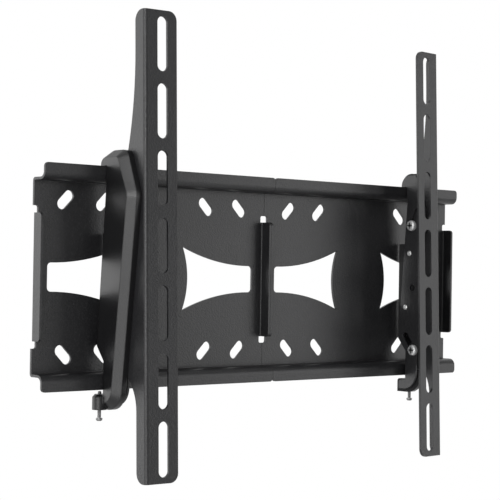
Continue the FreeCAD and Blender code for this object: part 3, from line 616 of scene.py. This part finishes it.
@dataclass
class Hanger:
    """A hook plate with its moulded cover and the rivets between them.

    Attributes:
        side: the side of the mount that it hangs on.
        head_radius: radius of a rivet's head.
        head_height: height of the head.
        shank_radius: radius of the shank.
        dome_heights: heights of the rings of the dome, as shares of the head's.
        dome_sweep: how far the dome draws in; 1 would close it at the top.
        dimple_rim: radius of the dimple's rim, as a share of the head's.
        dimple_floor: radius of its floor, as a share of the head's.
        dimple_height: height of its floor, as a share of the head's.
    """

    side: Side
    head_radius: float = 2.4 * MM
    head_height: float = 1.2 * MM
    shank_radius: float = 1.5 * MM
    dome_heights: Shares = (0.25, 0.5, 0.7, 0.85, 0.95)
    dome_sweep: float = 0.92
    dimple_rim: float = 0.3
    dimple_floor: float = 0.24
    dimple_height: float = 0.72

    def rivets(self) -> bpy.types.Object:
        """Build both rivets with domed heads.

        Returns:
            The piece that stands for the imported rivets.
        """
        node = f"cover_rivets_{self.side.word}"
        low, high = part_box(node)
        inner, outer = sorted((abs(low[0]), abs(high[0])))
        upper = (low[1] + self.head_radius, high[2] - self.head_radius)
        lower = (high[1] - self.head_radius, low[2] + self.head_radius)
        whole = bmesh.new()
        for y, z in (upper, lower):
            rivet = self._rivet(outer - inner - self.head_height)
            rivet.move_to(whole, along_x(self.side, inner + self.head_height, y, z))
        made = finished(f"domed_rivets_{self.side.word}", whole, ZINC)
        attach(made, f"hanger_{self.side.word}")
        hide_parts(node)
        return made

    def _rivet(self, shank: float) -> Turned:
        """One rivet, its domed head above height zero.

        Args:
            shank: the length of its shank.

        Returns:
            The turned rivet.
        """
        rivet = Turned()
        edges = rim = rivet.ring(self.head_radius, 0.0)
        for share in self.dome_heights:
            narrowed = self.head_radius * math.sqrt(1.0 - share * share * self.dome_sweep)
            edges = rivet.grow(edges, narrowed, self.head_height * share)
        edges = rivet.grow(edges, self.head_radius * self.dimple_rim, self.head_height)
        edges = rivet.grow(edges, self.head_radius * self.dimple_floor, self.head_height * self.dimple_height)
        rivet.close(edges)
        edges = rivet.grow(rim, self.shank_radius, 0.0)
        rivet.close(rivet.grow(edges, self.shank_radius, -shank))
        return rivet

    def dress(self, nodes: Nodes) -> None:
        """Coat the hook plate, finish the cover and plate the insert.

        Args:
            nodes: the loaded parts by name.
        """
        POWDER_COAT.put_on(f"hook_plate_{self.side.word}", nodes)
        MOULDED.put_on(f"side_cover_{self.side.word}", nodes)
        ZINC.put_on(f"lock_insert_{self.side.word}", nodes)


@dataclass
class TvArm:
    """A slotted arm with its two tilt screws and nuts.

    Attributes:
        side: the side of the mount that it is on.
        head_radius: radius of a screw's head.
        head_height: height of the head.
        shank_radius: radius over the thread.
        thread_depth: depth of the thread.
        thread_pitch: rise of the thread in one turn.
        thread_start: length of the plain shank under the head.
        thread_sink: how far the thread reaches into the core.
        cross_length: the cross recess from tip to tip.
        cross_width: width of its arms.
        cross_depth: its depth.
        head_heights: heights of the rings of the head, as shares of the head's.
        head_rounding: how far the head draws in towards its top.
        head_power: how late it does so; a larger number keeps the sides upright for longer.
        flat_share: radius of the flat round the recess, as a share of the cross.
    """

    side: Side
    head_radius: float = 4.8 * MM
    head_height: float = 3.4 * MM
    shank_radius: float = 2.5 * MM
    thread_depth: float = 0.3 * MM
    thread_pitch: float = 0.8 * MM
    thread_start: float = 2.4 * MM
    thread_sink: float = 0.05 * MM
    cross_length: float = 5.4 * MM
    cross_width: float = 1.2 * MM
    cross_depth: float = 1.7 * MM
    head_heights: Shares = (0.3, 0.55, 0.75, 0.9)
    head_rounding: float = 0.34
    head_power: int = 4
    flat_share: float = 0.56

    def screws(self) -> bpy.types.Object:
        """Build both tilt screws: pan heads with a cross recess, and a thread.

        Returns:
            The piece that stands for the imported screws.
        """
        node = f"tilt_screws_{self.side.word}"
        low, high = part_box(node)
        inner, outer = sorted((abs(low[0]), abs(high[0])))
        upper = (high[1] - self.head_radius, high[2] - self.head_radius)
        lower = (low[1] + self.head_radius, low[2] + self.head_radius)
        whole = bmesh.new()
        for y, z in (upper, lower):
            screw = self._screw(outer - inner - self.head_height)
            screw.move_to(whole, along_x(self.side, inner + self.head_height, y, z))
        made = finished(f"pan_head_screws_{self.side.word}", whole, ZINC)
        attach(made, f"arm_{self.side.word}")
        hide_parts(node)
        return made

    def _screw(self, shank: float) -> Turned:
        """One screw, its head above height zero.

        Args:
            shank: the length of its shank.

        Returns:
            The turned screw.
        """
        screw = Turned()
        edges = rim = screw.ring(self.head_radius, 0.0)
        for share in self.head_heights:
            narrowed = self.head_radius * (1.0 - share ** self.head_power * self.head_rounding)
            edges = screw.grow(edges, narrowed, self.head_height * share)
        edges = screw.grow(edges, self.cross_length * self.flat_share, self.head_height)
        screw.cross_recess(edges, self.cross_length, self.cross_width, self.cross_depth)
        root = self.shank_radius - self.thread_depth
        top, foot = -self.thread_start - self.thread_depth, -shank + self.thread_depth
        edges = screw.grow(rim, self.shank_radius, 0.0)
        edges = screw.grow(edges, self.shank_radius, -self.thread_start)
        edges = screw.grow(edges, root, top)
        edges = screw.grow(edges, root, foot)
        screw.close(screw.grow(edges, root - self.thread_depth, -shank))
        screw.thread(root - self.thread_sink, self.shank_radius, self.thread_pitch, foot, top)
        return screw

    def dress(self, nodes: Nodes) -> None:
        """Coat the arm and plate the nuts."""
        POWDER_COAT.put_on(f"tv_arm_{self.side.word}", nodes)
        ZINC.put_on(f"tilt_nuts_{self.side.word}", nodes)


@dataclass
class Lock:
    """The locking screw under a hanger.

    Attributes:
        side: the side of the mount that it is on.
        segments: corners of each ring.
        head_radius: radius of the head.
        head_height: height of the head.
        shank_radius: radius over the thread.
        thread_depth: depth of the thread.
        thread_pitch: rise of the thread in one turn.
        thread_start: gap between the head and the thread.
        thread_sink: how far the thread reaches into the core.
        tip_length: length of the tapered tip.
        tip_share: radius at its end, as a share of the core's.
        cross_length: the cross recess from tip to tip.
        cross_width: width of its arms.
        cross_depth: its depth.
        collar_share: radius where the head meets the shank, as a share of the head's.
        collar_height: height at which the head is widest, as a share of the head's.
        head_heights: heights of the rings above that, as shares of the head's.
        head_rounding: how far the head draws in towards its top.
        head_power: how late it does so; a larger number keeps the sides upright for longer.
        flat_share: radius of the flat round the recess, as a share of the cross.
    """

    side: Side
    segments: int = 32
    head_radius: float = 2.5 * MM
    head_height: float = 2.2 * MM
    shank_radius: float = 1.5 * MM
    thread_depth: float = 0.2 * MM
    thread_pitch: float = 0.6 * MM
    thread_start: float = 0.2 * MM
    thread_sink: float = 0.05 * MM
    tip_length: float = 0.4 * MM
    tip_share: float = 0.7
    cross_length: float = 2.9 * MM
    cross_width: float = 0.7 * MM
    cross_depth: float = 0.9 * MM
    collar_share: float = 0.94
    collar_height: float = 0.12
    head_heights: Shares = (0.45, 0.65, 0.82, 0.93)
    head_rounding: float = 0.42
    head_power: int = 5
    flat_share: float = 0.56

    def screw(self) -> bpy.types.Object:
        """Build the screw: a rounded head at the foot and a thread up to the tip.

        Returns:
            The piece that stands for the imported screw.
        """
        node = f"lock_screw_{self.side.word}"
        low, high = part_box(node)
        turned = self._turned(high[2] - low[2] - self.head_height)
        middle = ((low[0] + high[0]) / 2.0, (low[1] + high[1]) / 2.0, low[2] + self.head_height)
        whole = bmesh.new()
        turned.move_to(whole, Matrix.Translation(middle) @ Matrix.Rotation(math.pi, 4, "X"))
        # The lock screw takes the zinc plating darkened as painted shade.
        made = finished(f"threaded_lock_screw_{self.side.word}", whole, ZINC_PAINTED_SHADE)
        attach(made, f"locking_{self.side.word}")
        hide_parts(node)
        return made

    def _turned(self, shank: float) -> Turned:
        """The screw upside down, its head above height zero.

        Args:
            shank: the length of its shank.

        Returns:
            The turned screw.
        """
        screw = Turned(self.segments)
        edges = rim = screw.ring(self.head_radius * self.collar_share, 0.0)
        edges = screw.grow(edges, self.head_radius, self.head_height * self.collar_height)
        for share in self.head_heights:
            narrowed = self.head_radius * (1.0 - share ** self.head_power * self.head_rounding)
            edges = screw.grow(edges, narrowed, self.head_height * share)
        edges = screw.grow(edges, self.cross_length * self.flat_share, self.head_height)
        screw.cross_recess(edges, self.cross_length, self.cross_width, self.cross_depth)
        root = self.shank_radius - self.thread_depth
        foot = -shank + self.tip_length
        edges = screw.grow(rim, root, 0.0)
        edges = screw.grow(edges, root, foot)
        screw.close(screw.grow(edges, root * self.tip_share, -shank))
        screw.thread(root - self.thread_sink, self.shank_radius, self.thread_pitch, foot, -self.thread_start)
        return screw


# Studio


@dataclass(frozen=True)
class Softbox:
    """A flat soft light that faces the mount.

    Attributes:
        name: the lamp's name.
        place: where it stands, in metres.
        width: its width in metres.
        height: its height in metres.
        radiance: how bright its face is, where 1 is white.
    """

    name: str
    place: Triple
    width: float
    height: float
    radiance: float

    def build(self) -> None:
        """Make the lamp."""
        lamp = bpy.data.lights.new(self.name, "AREA")
        lamp.shape = "RECTANGLE"
        lamp.size = self.width
        lamp.size_y = self.height
        lamp.energy = self.radiance * math.pi * self.width * self.height
        made = bpy.data.objects.new(self.name, lamp)
        made.location = self.place
        made.rotation_euler = (-Vector(self.place)).to_track_quat("-Z", "Y").to_euler()
        bpy.context.scene.collection.objects.link(made)


@dataclass
class Studio:
    """Pale floor, white surround, soft lamps and the camera at the photograph's angle.

    Attributes:
        focal_pixels: focal length in pixels of the frame.
        frame_pixels: width of the frame in pixels.
        sensor: width of the camera's sensor in millimetres.
        yaw: degrees that the camera turns right from straight at the wall.
        pitch: degrees that it looks up.
        roll: degrees that it leans.
        camera_place: where it stands, in metres.
        clip_start: distance from which it sees, in metres.
        floor_height: height of the floor in metres.
        floor_radius: its radius in metres.
        floor_segments: corners of its rim.
        floor_grey: how pale the floor is.
        floor_rough: its roughness.
        floor_white_from: share of the radius at which the fade to white starts.
        floor_white_least: how white it looks from the middle up to there.
        front_grey: brightness of the surround in front of the mount, as mirrored surfaces see it.
        grey_until: direction along Y up to which the surround is that grey.
        white_from: direction along Y from which it is white.
        fill: brightness of the surround as diffuse surfaces see it.
    """

    LAMPS: ClassVar[tuple[Softbox, ...]] = (
        Softbox("back_left_softbox", (-1.25, 1.25, 0.15), width=1.3, height=1.3, radiance=1.6),
        Softbox("front_right_softbox", (1.45, -1.35, 0.1), width=1.2, height=1.2, radiance=1.9),
        Softbox("left_softbox", (-2.05, -1.1, 0.5), width=1.5, height=2.0, radiance=3.2),
        Softbox("left_spark", (-1.8, -1.14, 0.4), width=0.3, height=0.3, radiance=14.0),
        Softbox("low_left_softbox", (-0.66, -0.4, -0.43), width=0.4, height=0.4, radiance=2.5),
        Softbox("camera_softbox", (-0.9, -1.5, 0.7), width=0.9, height=0.9, radiance=0.8),
        Softbox("top_softbox", (0.0, -0.5, 1.5), width=1.2, height=1.2, radiance=0.7),
    )

    focal_pixels: float = 1502.97
    frame_pixels: float = 500.0
    sensor: float = 36.0
    yaw: float = 41.28
    pitch: float = 0.81
    roll: float = -0.89
    camera_place: Triple = (-0.8293, -0.92974, 0.00656)
    clip_start: float = 0.05
    floor_height: float = -0.45
    floor_radius: float = 1.4
    floor_segments: int = 96
    floor_grey: float = 0.9
    floor_rough: float = 0.8
    floor_white_from: float = 0.35
    floor_white_least: float = 0.3
    front_grey: float = 0.4
    grey_until: float = -0.45
    white_from: float = 0.1
    fill: float = 0.45

    def camera(self) -> None:
        """Set up the camera."""
        yaw, pitch, roll = (math.radians(value) for value in (self.yaw, self.pitch, self.roll))
        ahead = Vector((math.sin(yaw) * math.cos(pitch), math.cos(yaw) * math.cos(pitch), math.sin(pitch)))
        right = Vector((math.cos(yaw), -math.sin(yaw), 0.0))
        down = ahead.cross(right)
        across = math.cos(roll) * right + math.sin(roll) * down
        under = math.cos(roll) * down - math.sin(roll) * right
        axes = Matrix((across, -under, -ahead)).transposed()
        lens = bpy.data.cameras.new("photo_camera")
        lens.sensor_width = self.sensor
        lens.lens = self.focal_pixels / self.frame_pixels * self.sensor
        lens.clip_start = self.clip_start
        made = bpy.data.objects.new("photo_camera", lens)
        made.matrix_world = Matrix.Translation(self.camera_place) @ axes.to_4x4()
        bpy.context.scene.collection.objects.link(made)
        bpy.context.scene.camera = made

    def surround(self) -> None:
        """White behind the mount, greyer on the camera's side, and a softer level for diffuse light."""
        world = bpy.data.worlds.new("surround")
        world.use_nodes = True
        bpy.context.scene.world = world
        wiring = Wiring(world.node_tree)
        seen = wiring.found("BACKGROUND")
        path = wiring.node("ShaderNodeLightPath")
        place = wiring.node("ShaderNodeTexCoord")
        parts = wiring.node("ShaderNodeSeparateXYZ")
        wiring.link(place.outputs["Generated"], parts.inputs["Vector"])
        level = wiring.ranged(parts.outputs["Y"], self.grey_until, self.white_from, self.front_grey, 1.0)
        wiring.link(wiring.math("MAXIMUM", level, path.outputs["Is Camera Ray"]), seen.inputs["Strength"])
        seen.inputs["Color"].default_value = WHITE
        soft = wiring.node("ShaderNodeBackground")
        soft.inputs["Strength"].default_value = self.fill
        sharp = wiring.math("MAXIMUM", path.outputs["Is Camera Ray"], path.outputs["Is Glossy Ray"])
        sharp = wiring.math("MAXIMUM", sharp, path.outputs["Is Transmission Ray"])
        light = wiring.blended(sharp, soft.outputs["Background"], seen.outputs["Background"])
        wiring.link(light, wiring.found("OUTPUT_WORLD").inputs["Surface"])

    def floor(self) -> None:
        """A pale round floor well below the mount, white at its rim and clear from underneath."""
        bm = bmesh.new()
        bmesh.ops.create_circle(bm, cap_ends=True, segments=self.floor_segments, radius=self.floor_radius,
                                matrix=Matrix.Translation((0.0, 0.0, self.floor_height)))
        mesh = bpy.data.meshes.new("floor")
        bm.to_mesh(mesh)
        bm.free()
        mesh.materials.append(self._floor_material())
        made = bpy.data.objects.new("floor", mesh)
        bpy.context.scene.collection.objects.link(made)

    def _floor_material(self) -> bpy.types.Material:
        """Make the floor's material.

        Returns:
            The material.
        """
        pale = bpy.data.materials.new("pale_floor")
        pale.use_nodes = True
        wiring = Wiring(pale.node_tree)
        shader = wiring.found("BSDF_PRINCIPLED")
        shader.inputs["Base Color"].default_value = (self.floor_grey, self.floor_grey, self.floor_grey, 1.0)
        shader.inputs["Roughness"].default_value = self.floor_rough
        place = wiring.node("ShaderNodeTexCoord")
        flat = wiring.node("ShaderNodeVectorMath", operation="MULTIPLY")
        flat.inputs[1].default_value = (1.0, 1.0, 0.0)
        wiring.link(place.outputs["Object"], flat.inputs[0])
        reach = wiring.node("ShaderNodeVectorMath", operation="LENGTH")
        wiring.link(flat.outputs["Vector"], reach.inputs[0])
        fade = wiring.ranged(reach.outputs["Value"], self.floor_white_from * self.floor_radius,
                             self.floor_radius, self.floor_white_least, 1.0)
        path = wiring.node("ShaderNodeLightPath")
        seen = wiring.math("MAXIMUM", path.outputs["Is Camera Ray"], path.outputs["Is Glossy Ray"])
        white = wiring.node("ShaderNodeEmission")
        glow = wiring.math("MULTIPLY", fade, seen)
        top = wiring.blended(glow, shader.outputs["BSDF"], white.outputs["Emission"])
        turned = wiring.node("ShaderNodeNewGeometry")
        clear = wiring.node("ShaderNodeBsdfTransparent")
        both = wiring.blended(turned.outputs["Backfacing"], top, clear.outputs["BSDF"])
        wiring.link(both, wiring.found("OUTPUT_MATERIAL").inputs["Surface"])
        return pale

    def build(self) -> None:
        """Make the whole studio."""
        self.camera()
        self.surround()
        self.floor()
        for lamp in self.LAMPS:
            lamp.build()
        bpy.context.scene.view_settings.view_transform = "Standard"


def report(piece: bpy.types.Object) -> None:
    """Log a built piece with its number of faces."""
    log.info("built %s with %d faces", piece.name, len(piece.data.polygons))


def main() -> None:
    """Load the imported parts, dress them, add the detailed fasteners and set up the studio."""
    logging.basicConfig(level=logging.INFO, format="%(message)s")
    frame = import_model()
    nodes = frame["nodes"]
    WallPlate().dress(nodes)
    for side in Side:
        hanger = Hanger(side)
        hanger.dress(nodes)
        report(hanger.rivets())
        arm = TvArm(side)
        arm.dress(nodes)
        report(arm.screws())
        report(Lock(side).screw())
    Studio().build()
    log.info("lit the studio with %d lamps", len(Studio.LAMPS))


if __name__ == "__main__":
    main()
